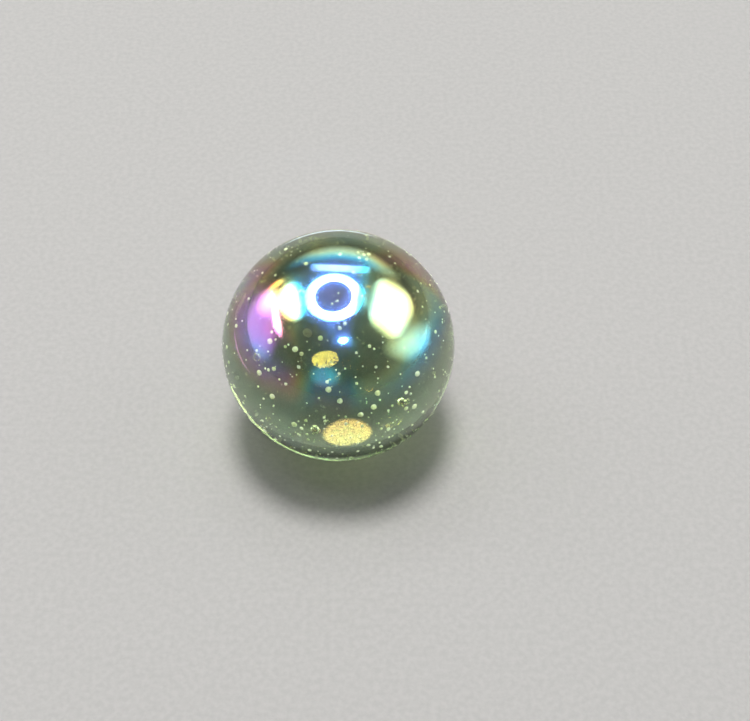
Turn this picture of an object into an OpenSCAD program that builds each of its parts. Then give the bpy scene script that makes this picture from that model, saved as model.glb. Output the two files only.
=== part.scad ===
// Clear glass ball with an iridescent lustre film and pale seeds in the glass.
// The origin is the centre of the ball, and +Z points up from where it rests.

/* [Ball] */
// Diameter of the finished ball, measured over the film
ball_d = 16; // [12:0.5:50]
// Thickness of the lustre film on the glass
film_t = 0.04; // [0.02:0.01:0.1]

/* [Large seeds] */
// Diameter of each large seed in the front of the ball
large_seed_d = 0.44; // [0.3:0.02:0.6]
// Glass left over each large seed
large_seed_cover = 0.1; // [0.05:0.01:0.5]

/* [Small seeds] */
// Number of small seeds strewn through the glass under the large ones
seed_count = 46; // [12:1:60]
// Diameter of the largest small seed
seed_d_max = 0.32; // [0.22:0.02:0.5]
// Diameter of the smallest small seed
seed_d_min = 0.16; // [0.1:0.02:0.2]
// Thickness of the layer of glass that holds them
seed_layer_t = 1.6; // [0.6:0.1:2]
// Clear glass between one kind of seed or bubble and the next
layer_gap = 0.1; // [0.05:0.05:0.3]

/* [Bubbles] */
// Number of round gas bubbles in the core of the glass
bubble_count = 9; // [3:1:12]
// Diameter of the largest bubble
bubble_d_max = 0.6; // [0.3:0.05:0.8]
// Diameter of the smallest bubble
bubble_d_min = 0.3; // [0.1:0.05:0.3]

/* [Hidden] */

SURFACE_FACETS = 160;
SEED_FACETS = 24;
GOLDEN_ANGLE = 180 * (3 - sqrt(5));
// Nudges stay under this angle over the root of the count, so neighbours never meet.
NUDGE = 50;
POLE_LIMIT = 88;
// Each kind of inclusion takes its scatter from its own series.
SEED_SERIES = 25;
BUBBLE_SERIES = 11;

glass_r = ball_d / 2 - film_t;
large_seed_r = glass_r - large_seed_cover - large_seed_d / 2;
layer_outer_r = glass_r - large_seed_cover - large_seed_d - layer_gap;
layer_inner_r = layer_outer_r - seed_layer_t;
core_r = layer_inner_r - layer_gap;

// Each large seed has its bearing round the ball from +X, then its height angle.
LARGE_SEEDS = [
    [-78, 13], [-71, 16], [-49, 5], [-137, 41],
    [-68, 23], [-124, 16], [-118, 44], [-135, 24],
    [-88, 22], [-94, 28], [-111, 4], [-43, 22],
];

// A direction on the unit sphere from a bearing and a height angle.
function direction(bearing, height) =
    [cos(height) * cos(bearing), cos(height) * sin(bearing), sin(height)];

// A fraction from 0 to 1 that looks random but follows from the index and the series.
function scatter(i, series) =
    let (wave = sin(i * 127.1 + series * 311.7) * 437.585)
    wave - floor(wave);

// Direction of item i of n, spread evenly over the sphere and then nudged.
function spread(i, n, series) =
    let (
        room = NUDGE / sqrt(n),
        height = asin(1 - 2 * (i + 0.5) / n),
        bearing_nudge = (scatter(i, series) - 0.5) * room,
        height_nudge = (scatter(i, series + 1) - 0.5) * room
    )
    direction(
        i * GOLDEN_ANGLE + bearing_nudge,
        max(-POLE_LIMIT, min(POLE_LIMIT, height + height_nudge))
    );

// Diameter of item i, with many small ones to each large one.
function mixed_d(i, smallest, largest, series) =
    smallest + (largest - smallest) * pow(scatter(i, series), 2);

module large_seeds() {
    for (place = LARGE_SEEDS) {
        translate(large_seed_r * direction(place[0], place[1]))
            sphere(d = large_seed_d, $fn = SEED_FACETS);
    }
}

// Each small seed lies wholly inside its layer.
module small_seeds() {
    for (i = [0 : seed_count - 1]) {
        d = mixed_d(i, seed_d_min, seed_d_max, SEED_SERIES);
        depth = scatter(i, SEED_SERIES + 3) * (seed_layer_t - d);
        translate((layer_outer_r - d / 2 - depth) * spread(i, seed_count, SEED_SERIES))
            sphere(d = d, $fn = SEED_FACETS);
    }
}

// Each bubble is a round hollow between half way out and the edge of the core.
module bubbles() {
    for (i = [0 : bubble_count - 1]) {
        d = mixed_d(i, bubble_d_min, bubble_d_max, BUBBLE_SERIES);
        share_out = 0.5 + 0.5 * scatter(i, BUBBLE_SERIES + 3);
        translate((core_r - d / 2) * share_out * spread(i, bubble_count, BUBBLE_SERIES))
            sphere(d = d, $fn = SEED_FACETS);
    }
}

// The solid glass, hollow only where a seed sits or a bubble was trapped.
module glass_ball() {
    color([0.62, 0.75, 0.66, 0.45])
        difference() {
            sphere(r = glass_r, $fn = SURFACE_FACETS);
            large_seeds();
            small_seeds();
            bubbles();
        }
}

// The film that gives the rainbow sheen, closed all round the glass.
module lustre_film() {
    color([0.66, 0.58, 0.86, 0.35])
        difference() {
            sphere(d = ball_d, $fn = SURFACE_FACETS);
            sphere(r = glass_r, $fn = SURFACE_FACETS);
        }
}

// Pale grains of unmelted batch, each filling its own pocket in the glass.
module glass_seeds() {
    color([0.93, 0.96, 0.88])
        union() {
            large_seeds();
            small_seeds();
        }
}

glass_ball();
lustre_film();
glass_seeds();
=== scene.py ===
"""Looks for the iridescent glass ball: clear tinted glass, a lustre film and pale seeds."""

import math
import random

import bmesh
import bpy
from mathutils import Matrix, Vector, noise


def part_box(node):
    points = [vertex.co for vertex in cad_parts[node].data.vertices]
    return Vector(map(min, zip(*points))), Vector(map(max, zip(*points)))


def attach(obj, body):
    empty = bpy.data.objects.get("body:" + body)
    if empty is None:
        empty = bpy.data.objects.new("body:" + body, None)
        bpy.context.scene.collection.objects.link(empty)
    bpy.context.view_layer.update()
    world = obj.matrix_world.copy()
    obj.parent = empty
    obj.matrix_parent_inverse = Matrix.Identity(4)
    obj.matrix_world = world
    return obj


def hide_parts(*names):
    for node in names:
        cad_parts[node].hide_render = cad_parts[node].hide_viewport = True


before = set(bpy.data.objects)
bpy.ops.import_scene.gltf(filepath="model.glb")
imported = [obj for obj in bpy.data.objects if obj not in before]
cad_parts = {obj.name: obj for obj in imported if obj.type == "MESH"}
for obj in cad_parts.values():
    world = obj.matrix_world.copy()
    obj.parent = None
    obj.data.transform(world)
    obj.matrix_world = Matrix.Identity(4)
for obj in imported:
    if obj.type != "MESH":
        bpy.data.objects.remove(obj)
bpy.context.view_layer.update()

MM = 0.001

# ---------------------------------------------------------------- sizes taken from the frame
film_low, film_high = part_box("lustre_film")
BALL_R = film_high.z
GLASS_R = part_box("glass_ball")[1].z
FLOOR_Z = film_low.z
LARGEST_HOLLOW = GLASS_R / 4   # a larger shell in the glass is the ball's own surface
SAME_PLACE = 0.05 * MM         # a hollow this near a seed's centre is that seed's pocket
WELD = 1e-7                    # how near two loose corners are to be one, in metres


# ---------------------------------------------------------------- making pieces and finishes
def object_from(bm, name, material, smooth=True):
    """Turns a finished bmesh into an object at the origin."""
    mesh = bpy.data.meshes.new(name)
    bm.to_mesh(mesh)
    bm.free()
    for face in mesh.polygons:
        face.use_smooth = smooth
    mesh.materials.append(material)
    piece = bpy.data.objects.new(name, mesh)
    bpy.context.scene.collection.objects.link(piece)
    return piece


class Finish:
    """A material under construction, with short calls for its nodes."""

    def __init__(self, name):
        self.material = bpy.data.materials.new(name)
        self.material.use_nodes = True
        self.tree = self.material.node_tree
        self.tree.nodes.clear()
        self.output = self.tree.nodes.new("ShaderNodeOutputMaterial")

    def node(self, kind, **settings):
        """Adds a node of the given kind with its settings."""
        made = self.tree.nodes.new("ShaderNode" + kind)
        for name, value in settings.items():
            setattr(made, name, value)
        return made

    def join(self, source, target):
        """Links an output to an input."""
        self.tree.links.new(source, target)

    def principled(self, **values):
        """The surface's shader, with constants set on its own sockets."""
        shader = self.node("BsdfPrincipled")
        for name, value in values.items():
            shader.inputs[name.replace("_", " ")].default_value = value
        self.join(shader.outputs["BSDF"], self.output.inputs["Surface"])
        return shader


def islands(mesh):
    """Centre and radius of every separate shell in a CAD node's mesh."""
    bm = bmesh.new()
    bm.from_mesh(mesh)
    bmesh.ops.remove_doubles(bm, verts=bm.verts, dist=WELD)
    found = []
    left = set(bm.verts)
    while left:
        start = left.pop()
        shell = [start]
        for vert in shell:
            for edge in vert.link_edges:
                other = edge.other_vert(vert)
                if other in left:
                    left.remove(other)
                    shell.append(other)
        low = Vector([min(v.co[k] for v in shell) for k in range(3)])
        high = Vector([max(v.co[k] for v in shell) for k in range(3)])
        # A round shell fills its box, whose diagonal is the shell's diameter times root 3.
        found.append(((low + high) / 2, (high - low).length / (2 * math.sqrt(3))))
    bm.free()
    return sorted(found, key=lambda s: (round(s[0].x, 6), round(s[0].y, 6), round(s[0].z, 6)))


seeds = islands(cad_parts["glass_seeds"].data)
hollows = [s for s in islands(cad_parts["glass_ball"].data) if s[1] < LARGEST_HOLLOW]
bubbles = [h for h in hollows if all((h[0] - s[0]).length > SAME_PLACE for s in seeds)]


# ---------------------------------------------------------------- materials
FILM_REACH = 1.3      # how far the next list runs to each side, in ball radii
# The film's thickness in nanometres, at each distance in ball radii from the left to the right.
FILM_ACROSS = [(-1.3, 318), (-0.98, 288), (-0.72, 268), (-0.63, 250), (-0.56, 230), (-0.5, 214),
               (-0.43, 192), (-0.34, 164), (-0.2, 155), (0.02, 153), (0.2, 152), (0.34, 188),
               (0.48, 202), (0.72, 206), (0.88, 198), (1.0, 180), (1.12, 160), (1.2, 172), (1.3, 196)]
FILM_LEAN = 1.1       # how much the bands crowd together towards the front of the ball
# Where the film thickens or thins further: (axis, from, to) in ball radii, and the nanometres gained.
FILM_POOLS = [("Y", -0.05, -0.35, -5), ("Y", 0.02, 0.2, 55), ("Z", -0.3, -0.7, -55),
              ("Z", -0.79, -1.0, 36)]
FILM_SCALE = 400      # the nanometres that a ramp value of 1 stands for
FILM_PATCHES = 20     # how far cloudy patches thicken or thin the film, in nanometres
FILM_CLOUDS = 160     # how fine those patches are
FILM_IOR = 2.1        # where the film is at its brightest, on top and at the back
PAINTED_DIM_IOR = 1.6        # low at the front, where the film is dulled as painted shade that dims the floor's reflection
GLASS_IOR = 1.52
BRIGHT_ABOVE = (0.25, 0.55)   # the film brightens between these heights, in ball radii, out of its painted shade low down
BRIGHT_BEHIND = (0.0, 0.35)   # and between these distances back from the ball's middle


def ramp(finish, source, stops):
    """A colour ramp through the given (place, colour) stops."""
    made = finish.node("ValToRGB")
    elements = made.color_ramp.elements
    while len(elements) < len(stops):
        elements.new(0.5)
    for element, (place, colour) in zip(elements, stops):
        element.position = place
        element.color = colour
    finish.join(source, made.inputs["Fac"])
    return made.outputs["Color"]


def grey(value):
    return (value, value, value, 1)


def math_node(finish, operation, *values):
    """One sum, whose values are numbers or other nodes' outputs."""
    made = finish.node("Math", operation=operation)
    for socket, value in zip(made.inputs, values):
        if isinstance(value, (int, float)):
            socket.default_value = value
        else:
            finish.join(value, socket)
    return made.outputs["Value"]


def cloud(finish, scale, detail):
    """Soft noise in the ball's own space, around 0.5."""
    coords = finish.node("TexCoord").outputs["Object"]
    made = finish.node("TexNoise")
    made.inputs["Scale"].default_value = scale
    made.inputs["Detail"].default_value = detail
    finish.join(coords, made.inputs["Vector"])
    return made.outputs["Fac"]


def place_on_ball(finish):
    """The X, Y and Z of a point, from the ball's centre and in metres."""
    coords = finish.node("TexCoord").outputs["Object"]
    split = finish.node("SeparateXYZ")
    finish.join(coords, split.inputs["Vector"])
    return split


def film_thickness(finish):
    """The lustre film's thickness in nanometres, thicker on the left and cloudy all over."""
    split = place_on_ball(finish)
    lean = math_node(finish, "MULTIPLY_ADD", split.outputs["Y"], -FILM_LEAN / BALL_R, 1.0)
    across = math_node(finish, "MULTIPLY", split.outputs["X"], lean)
    across = math_node(finish, "MULTIPLY_ADD", across, 0.5 / (FILM_REACH * BALL_R), 0.5)
    stops = [((place / FILM_REACH + 1) / 2, grey(nm / FILM_SCALE)) for place, nm in FILM_ACROSS]
    base = ramp(finish, across, stops)
    patch = math_node(finish, "SUBTRACT", cloud(finish, FILM_CLOUDS, 3.0), 0.5)
    # The noise seldom strays more than a quarter from its middle.
    patch = math_node(finish, "MULTIPLY", patch, 4 * FILM_PATCHES)
    thick = math_node(finish, "MULTIPLY_ADD", base, FILM_SCALE, patch)
    for axis, start, end, gain in FILM_POOLS:
        pool = finish.node("MapRange", interpolation_type="SMOOTHSTEP")
        pool.inputs["From Min"].default_value = start * BALL_R
        pool.inputs["From Max"].default_value = end * BALL_R
        pool.inputs["To Max"].default_value = gain
        finish.join(split.outputs[axis], pool.inputs["Value"])
        thick = math_node(finish, "ADD", thick, pool.outputs["Result"])
    return thick


def span(finish, source, low, high, start=0.0, end=1.0):
    """Maps low..high of a value onto start..end."""
    made = finish.node("MapRange")
    for name, value in (("From Min", low), ("From Max", high), ("To Min", start), ("To Max", end)):
        made.inputs[name].default_value = value
    finish.join(source, made.inputs["Value"])
    return made.outputs["Result"]


def raise_surface(finish, shader, height, depth):
    """Bumps a surface by the given height field, up to depth metres."""
    bump = finish.node("Bump")
    bump.inputs["Strength"].default_value = 1.0
    bump.inputs["Distance"].default_value = depth
    finish.join(height, bump.inputs["Height"])
    finish.join(bump.outputs["Normal"], shader.inputs["Normal"])


def film_strength(finish):
    """1 where the lustre film is bright and 0 low at the front, where it is dulled as painted shade that
    dims the floor's reflection.
    """
    split = place_on_ball(finish)
    upper = span(finish, split.outputs["Z"], *[share * BALL_R for share in BRIGHT_ABOVE])
    behind = span(finish, split.outputs["Y"], *[share * BALL_R for share in BRIGHT_BEHIND])
    return math_node(finish, "MAXIMUM", upper, behind)


def clear_glass():
    """Polished green-tinted glass with the film's colours, a few faint smears and deeper green inside."""
    finish = Finish("clear_glass")
    shader = finish.principled(
        Base_Color=(0.47, 0.51, 0.40, 1), Roughness=0.0, IOR=GLASS_IOR, Transmission_Weight=1.0,
        Thin_Film_IOR=FILM_IOR,
    )
    finish.join(film_thickness(finish), shader.inputs["Thin Film Thickness"])
    # The film's IOR falls low at the front, a painted shade that dims its reflections there.
    film_ior = span(finish, film_strength(finish), 0, 1, PAINTED_DIM_IOR, FILM_IOR)
    finish.join(film_ior, shader.inputs["Thin Film IOR"])
    tint = ramp(finish, cloud(finish, 220, 3.0), [
        (0.3, (0.44, 0.50, 0.33, 1)), (0.55, (0.50, 0.54, 0.38, 1)), (0.75, (0.54, 0.57, 0.43, 1))])
    finish.join(tint, shader.inputs["Base Color"])
    smears = span(finish, cloud(finish, 500, 2.0), 0.5, 0.8, 0.0, 0.012)
    finish.join(smears, shader.inputs["Roughness"])
    raise_surface(finish, shader, cloud(finish, 200, 1.0), 0.00001)
    depth = finish.node("VolumeAbsorption")
    depth.inputs["Color"].default_value = (0.55, 0.66, 0.45, 1)
    depth.inputs["Density"].default_value = 75
    finish.join(depth.outputs["Volume"], finish.output.inputs["Volume"])
    return finish.material


def lustre():
    """A thin see-through metal skin in the colours that the film gives at each thickness."""
    finish = Finish("lustre")
    shader = finish.principled(Metallic=1.0, Roughness=0.2, Alpha=0.08)
    thick = film_thickness(finish)
    share = math_node(finish, "DIVIDE", thick, FILM_SCALE)
    stops = [(nm / FILM_SCALE, colour) for nm, colour in (
        (143, (0.10, 0.25, 0.95, 1)), (165, (0.08, 0.75, 1.0, 1)), (189, (0.55, 1.0, 0.55, 1)),
        (209, (1.0, 0.9, 0.25, 1)), (229, (1.0, 0.45, 0.35, 1)), (247, (0.95, 0.3, 0.75, 1)),
        (269, (0.6, 0.25, 1.0, 1)), (297, (0.3, 0.4, 1.0, 1)))]
    # The film's colours are dimmed low at the front, a painted shade that dims the floor's reflection.
    painted_dim_colour = finish.node("VectorMath", operation="SCALE")
    finish.join(ramp(finish, share, stops), painted_dim_colour.inputs[0])
    finish.join(span(finish, film_strength(finish), 0, 1, 0.2, 1.0), painted_dim_colour.inputs["Scale"])
    finish.join(painted_dim_colour.outputs["Vector"], shader.inputs["Base Color"])
    haze = span(finish, cloud(finish, 700, 4.0), 0.35, 0.7, 0.12, 0.28)
    finish.join(haze, shader.inputs["Roughness"])
    raise_surface(finish, shader, cloud(finish, 1200, 4.0), 0.00001)
    return finish.material


def pale_seed():
    """Chalky, lumpy grains with a faint painted glow, a little brighter than the light that reaches them
    through the glass.
    """
    finish = Finish("pale_seed")
    # The emission is a painted glow: the seeds are no lamps, yet shine a little of their own.
    shader = finish.principled(Base_Color=(0.9, 0.94, 0.82, 1), Roughness=0.7,
                               Emission_Color=(0.9, 1.0, 0.72, 1), Emission_Strength=0.2)
    tone = ramp(finish, cloud(finish, 1500, 2.0), [
        (0.36, (0.45, 0.52, 0.28, 1)), (0.46, (0.85, 0.92, 0.60, 1)), (0.6, (0.95, 0.97, 0.92, 1))])
    finish.join(tone, shader.inputs["Base Color"])
    chalk = span(finish, cloud(finish, 9000, 2.0), 0.3, 0.7, 0.5, 0.85)
    finish.join(chalk, shader.inputs["Roughness"])
    raise_surface(finish, shader, cloud(finish, 9000, 2.0), 0.00002)
    return finish.material


def pale_floor():
    """A plain, finely grained floor. Its colour is low because the lamp over it is strong."""
    finish = Finish("pale_floor")
    shader = finish.principled(Base_Color=(0.086, 0.084, 0.082, 1), Roughness=0.85)
    tone = ramp(finish, cloud(finish, 2500, 3.0), [
        (0.35, (0.082, 0.081, 0.079, 1)), (0.65, (0.092, 0.090, 0.088, 1))])
    finish.join(tone, shader.inputs["Base Color"])
    raise_surface(finish, shader, cloud(finish, 3000, 2.0), 0.00002)
    return finish.material


# ---------------------------------------------------------------- pieces
seed_finish = pale_seed()
SEED_SIZE = 0.86      # a seed's mean radius over its round CAD grain's
SEED_LUMPS = 0.14     # how far its lumps rise and sink, over that radius


def make_ball():
    """The glass, with its bubbles as hollows."""
    bm = bmesh.new()
    bmesh.ops.create_icosphere(bm, subdivisions=7, radius=GLASS_R)
    for centre, radius in bubbles:
        made = bmesh.ops.create_icosphere(
            bm, subdivisions=4, radius=radius, matrix=Matrix.Translation(centre))
        faces = {f for v in made["verts"] for f in v.link_faces}
        bmesh.ops.reverse_faces(bm, faces=list(faces))
    return object_from(bm, "ball_glass", clear_glass())


def make_skin():
    """The film's outer surface, all round the ball."""
    bm = bmesh.new()
    bmesh.ops.create_icosphere(bm, subdivisions=7, radius=BALL_R)
    return object_from(bm, "lustre_skin", lustre())


def make_seeds():
    """The seeds that CAD places, each a slightly lumpy grain."""
    bm = bmesh.new()
    for centre, radius in seeds:
        made = bmesh.ops.create_icosphere(
            bm, subdivisions=3, radius=radius, matrix=Matrix.Translation(centre))
        for vert in made["verts"]:
            lump = noise.noise((vert.co - centre) * 1.3 / radius + centre * 9000)
            vert.co = centre + (vert.co - centre) * (SEED_SIZE + SEED_LUMPS * lump)
    return object_from(bm, "pale_seeds", seed_finish)


FINE_SEEDS = 520
FINE_R = (0.04 * MM, 0.15 * MM)       # the smallest and largest fine seed
FINE_DEEP = (0.25 * MM, 2.6 * MM)     # how deep under the glass they lie
FINE_APART = 0.03 * MM                # the least glass between two grains
CLEAR_WAY = Vector((0, 0.64, -0.77))  # the ball's clear patch, low at the back
CLEAR_SPREAD = 44                     # half the angle that the clear patch covers, in degrees


def make_fine_seeds():
    """Tiny grains too small to model in CAD, thickest low in the ball and towards its front."""
    bm = bmesh.new()
    draw = random.Random(16)
    placed = list(seeds) + list(bubbles)
    made = 0
    while made < FINE_SEEDS:
        way = Vector((draw.gauss(0, 1), draw.gauss(0, 1), draw.gauss(0, 1))).normalized()
        if way.angle(CLEAR_WAY) < math.radians(CLEAR_SPREAD):
            continue
        # Grains are kept more often the lower and nearer the front they lie.
        favour = 0.4 + 0.6 * max(0.0, (-0.7 * way.y - 0.7 * way.z + 0.45) / 1.4)
        if draw.random() > favour:
            continue
        radius = FINE_R[0] + (FINE_R[1] - FINE_R[0]) * draw.random() ** 2.5
        centre = way * (GLASS_R - draw.uniform(*FINE_DEEP))
        if any((centre - c).length < r + radius + FINE_APART for c, r in placed):
            continue
        placed.append((centre, radius))
        grain = bmesh.ops.create_icosphere(
            bm, subdivisions=1, radius=radius, matrix=Matrix.Translation(centre))
        for vert in grain["verts"]:
            vert.co = centre + (vert.co - centre) * draw.uniform(0.75, 1.1)
        made += 1
    return object_from(bm, "fine_seeds", seed_finish)


ball = make_ball()
skin = make_skin()
grains = make_seeds()
dust = make_fine_seeds()
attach(dust, "root")
for piece, node, slot in (
        (ball, "glass_ball", "clear_glass"),
        (skin, "lustre_film", "lustre"),
        (grains, "glass_seeds", "pale_seed")):
    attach(piece, "root")
    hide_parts(node)

# ---------------------------------------------------------------- floor
FLOOR_REACH = 1.5   # how far the floor goes from its middle, in metres
bm = bmesh.new()
bmesh.ops.create_grid(
    bm, x_segments=8, y_segments=8, size=FLOOR_REACH, matrix=Matrix.Translation((0, 0, FLOOR_Z)))
floor = object_from(bm, "floor", pale_floor(), smooth=False)


# ---------------------------------------------------------------- lights
# How far the lamps stand from the ball's centre, in metres.
LAMP_FAR = 0.45
LAMP_NEAR = 0.08      # for the lamp level with the ball's middle, so that it clears the floor
LAMP_LOW = 0.03       # for the two below the ball's middle, just over the floor
STRIP_THIN = 2.4      # a strip lamp's face height over the height of the band that shines
STRIP_LEVEL = 0.45    # lifts a bent strip so that it stays over the middle of the lamp's face
HOLE_EDGE = 0.02      # half the width over which a lamp's hole goes dark, as a share of the lamp


def direction(bearing, height):
    """A unit vector from a bearing round from +X and a height angle, both in degrees."""
    b, h = math.radians(bearing), math.radians(height)
    return Vector((math.cos(h) * math.cos(b), math.cos(h) * math.sin(b), math.sin(h)))


def soft_light(name, bearing, height, distance, size, radiance, colour=(1, 1, 1), roll=0):
    """An oval light that faces the ball, with its size in degrees as the ball sees it."""
    data = bpy.data.lights.new(name, "AREA")
    data.shape = "ELLIPSE"
    data.size, data.size_y = [2 * distance * math.tan(math.radians(s) / 2) for s in size]
    area = data.size * data.size_y * (math.pi / 4)
    data.energy = radiance * math.pi * area
    data.color = colour
    light = bpy.data.objects.new(name, data)
    place = direction(bearing, height) * distance
    turn = (-place).to_track_quat("-Z", "Y").to_matrix().to_4x4()
    light.matrix_world = Matrix.Translation(place) @ turn @ Matrix.Rotation(math.radians(roll), 4, "Z")
    light.visible_camera = False
    light.visible_diffuse = False
    bpy.context.scene.collection.objects.link(light)
    return light


class LampNodes:
    """The nodes that shape one area light's brightness across its face."""

    def __init__(self, light):
        light.data.use_nodes = True
        self.tree = light.data.node_tree
        self.emission = next(n for n in self.tree.nodes if n.type == "EMISSION")

    def math(self, operation, *values):
        """One sum, whose values are numbers or other nodes' outputs."""
        made = self.tree.nodes.new("ShaderNodeMath")
        made.operation = operation
        for socket, value in zip(made.inputs, values):
            if isinstance(value, (int, float)):
                socket.default_value = value
            else:
                self.tree.links.new(value, socket)
        return made.outputs["Value"]

    def reach(self, square, bend=0.0):
        """0 in the middle of the light's face and 1 at its rim."""
        where = self.tree.nodes.new("ShaderNodeNewGeometry")
        split = self.tree.nodes.new("ShaderNodeSeparateXYZ")
        self.tree.links.new(where.outputs["Parametric"], split.inputs["Vector"])
        if bend:
            return self.strip(split, bend)
        sides = [
            self.math("ABSOLUTE", self.math("MULTIPLY_ADD", split.outputs[axis], 2.0, -1.0))
            for axis in "XY"]
        if square:
            fourth = [self.math("POWER", s, 4.0) for s in sides]
            return self.math("POWER", self.math("ADD", *fourth), 0.25)
        return self.math("SQRT", self.math("ADD", *[self.math("MULTIPLY", s, s) for s in sides]))

    def strip(self, split, bend):
        """A band across the light's face whose ends droop by the given share of its height."""
        along = self.math("SUBTRACT", self.math("MULTIPLY", split.outputs["X"], 2.0), 1.0)
        up = self.math("SUBTRACT", self.math("MULTIPLY", split.outputs["Y"], 2.0), 1.0)
        curve = self.math("SUBTRACT", self.math("MULTIPLY", along, along), STRIP_LEVEL)
        droop = self.math("MULTIPLY", curve, bend)
        away = self.math("MULTIPLY", self.math("ABSOLUTE", self.math("ADD", up, droop)), STRIP_THIN)
        return self.math("MAXIMUM", away, self.math("ABSOLUTE", along))

    def fall(self, value, start, end):
        """1 below start, falling smoothly to 0 at end."""
        made = self.tree.nodes.new("ShaderNodeMapRange")
        made.interpolation_type = "SMOOTHSTEP"
        made.inputs["From Min"].default_value = start
        made.inputs["From Max"].default_value = end
        made.inputs["To Min"].default_value = 1.0
        made.inputs["To Max"].default_value = 0.0
        self.tree.links.new(value, made.inputs["Value"])
        return made.outputs["Result"]

    def set_strength(self, value):
        """Makes the given value the light's strength."""
        self.tree.links.new(value, self.emission.inputs["Strength"])


def fade_light(light, soft, hole=0.0, hole_glow=0.0, square=False, bend=0.0):
    """Fades a light's brightness towards its rim, and dims a round hole in its middle."""
    maker = LampNodes(light)
    reach = maker.reach(square, bend)
    strength = maker.fall(reach, 1 - soft, 1.0)
    if hole:
        middle = maker.fall(reach, hole - HOLE_EDGE, hole + HOLE_EDGE)
        dark = maker.math("MULTIPLY", middle, 1 - hole_glow)
        keep = maker.math("SUBTRACT", 1.0, dark)
        strength = maker.math("MULTIPLY", strength, keep)
    maker.set_strength(strength)


# The key lights the floor and the seeds. The other lamps show only in the glass.
key_data = bpy.data.lights.new("key", "SUN")
key_data.energy = 13.5
key_data.angle = math.radians(17)
key_data.color = (1.0, 0.99, 0.97)
key = bpy.data.objects.new("key", key_data)
key.rotation_mode = "QUATERNION"
key.rotation_quaternion = (-direction(100, 82)).to_track_quat("-Z", "Y")
key.visible_camera = False
key.visible_glossy = False
key.visible_transmission = False
bpy.context.scene.collection.objects.link(key)
ring = soft_light("ring_lamp", 114, 81.6, LAMP_FAR, (51, 51), 46.0)
fade_light(ring, soft=0.05, hole=0.6, hole_glow=0.022)
fade_light(soft_light("left_panel", 164, 48, LAMP_FAR, (46, 30), 30, roll=-150), soft=0.7)
fade_light(soft_light("left_window", 158, 25, LAMP_FAR, (38, 28), 11, roll=57), soft=0.9)
fade_light(soft_light("left_streak", 180, 32, LAMP_FAR, (36, 11), 20), soft=0.7)
fade_light(soft_light("left_low", 173, 13, LAMP_FAR, (64, 46), 2.6), soft=0.6)
fade_light(soft_light("right_panel", 11, 40, LAMP_FAR, (60, 45), 18, roll=-20), soft=0.8, square=True)
fade_light(soft_light("right_low", -7, 11, LAMP_FAR, (72, 34), 3.6, roll=-40), soft=0.9)
fade_light(soft_light("right_edge", 4, 1, LAMP_NEAR, (34, 12), 2.6), soft=0.8)
for name, bearing, height, size, radiance, colour in (
        ("back_edge", 94, -12, (36, 6), 2.6, (0.68, 0.8, 1.0)),
        ("left_edge", 177, -11, (40, 3), 2.0, (0.62, 0.5, 1.0))):
    edge = soft_light(name, bearing, height, LAMP_LOW, size, radiance, colour)
    edge.visible_transmission = False
    fade_light(edge, soft=0.6)
fade_light(soft_light("back_strip", 88, 47, LAMP_FAR, (46, 26), 18), soft=0.5, bend=0.6)
fade_light(soft_light("back_glow", 84, 30, LAMP_FAR, (84, 32), 2.6), soft=0.9)
for name, bearing, height, size, radiance, colour, roll in (
        ("left_tip", 142, 25, (9, 18), 8, (1.0, 0.6, 0.3), 30),
        ("front_window", -102, 19, (34, 28), 3.0, (1.0, 0.72, 0.45), 0)):
    warm = soft_light(name, bearing, height, LAMP_FAR, size, radiance, colour, roll=roll)
    warm.visible_transmission = False
    fade_light(warm, soft=0.7)
fade_light(soft_light("front_spot", -80, 54, LAMP_FAR, (10, 6), 150), soft=0.15)

# The room glows softly low down and is dim above.
GLOW_FADES = (0.02, 0.35)   # the heights between which the glow fades, 1 being straight up
GLOW_LOW, GLOW_HIGH = 0.45, 0.04
world = bpy.data.worlds.new("studio")
bpy.context.scene.world = world
world.use_nodes = True
tree = world.node_tree
sky = tree.nodes.new("ShaderNodeTexCoord")
parts = tree.nodes.new("ShaderNodeSeparateXYZ")
tree.links.new(sky.outputs["Generated"], parts.inputs["Vector"])
fade = tree.nodes.new("ShaderNodeMapRange")
fade.interpolation_type = "SMOOTHSTEP"
fade.inputs["From Min"].default_value = GLOW_FADES[0]
fade.inputs["From Max"].default_value = GLOW_FADES[1]
fade.inputs["To Min"].default_value = GLOW_LOW
fade.inputs["To Max"].default_value = GLOW_HIGH
tree.links.new(parts.outputs["Z"], fade.inputs["Value"])
background = tree.nodes["Background"]
background.inputs["Color"].default_value = (0.97, 0.98, 1.0, 1)
tree.links.new(fade.outputs["Result"], background.inputs["Strength"])
bpy.context.scene.view_settings.view_transform = "Standard"

# ---------------------------------------------------------------- camera
CAMERA_ELEVATION = 50             # degrees above the floor
CAMERA_DISTANCE = 0.11            # metres from the point that it aims at
SENSOR_WIDTH = 36                 # millimetres
BALL_SHARE_OF_WIDTH = 0.31067     # the ball's width over the frame's width
AIM_RIGHT, AIM_DOWN = 0.3133, 0.1288   # in ball radii, from the ball's centre to the frame's

camera_data = bpy.data.cameras.new("camera")
camera_data.sensor_width = SENSOR_WIDTH
frame_width = 2 * BALL_R / BALL_SHARE_OF_WIDTH
camera_data.lens = SENSOR_WIDTH * CAMERA_DISTANCE / frame_width
camera_data.clip_start = 0.001
camera = bpy.data.objects.new("camera", camera_data)
bpy.context.scene.collection.objects.link(camera)
back = direction(-90, CAMERA_ELEVATION)
right = Vector((1, 0, 0))
up = back.cross(right)
aim = right * AIM_RIGHT * BALL_R - up * AIM_DOWN * BALL_R
camera.rotation_mode = "QUATERNION"
camera.location = aim + back * CAMERA_DISTANCE
camera.rotation_quaternion = (-back).to_track_quat("-Z", "Y")
bpy.context.scene.camera = camera
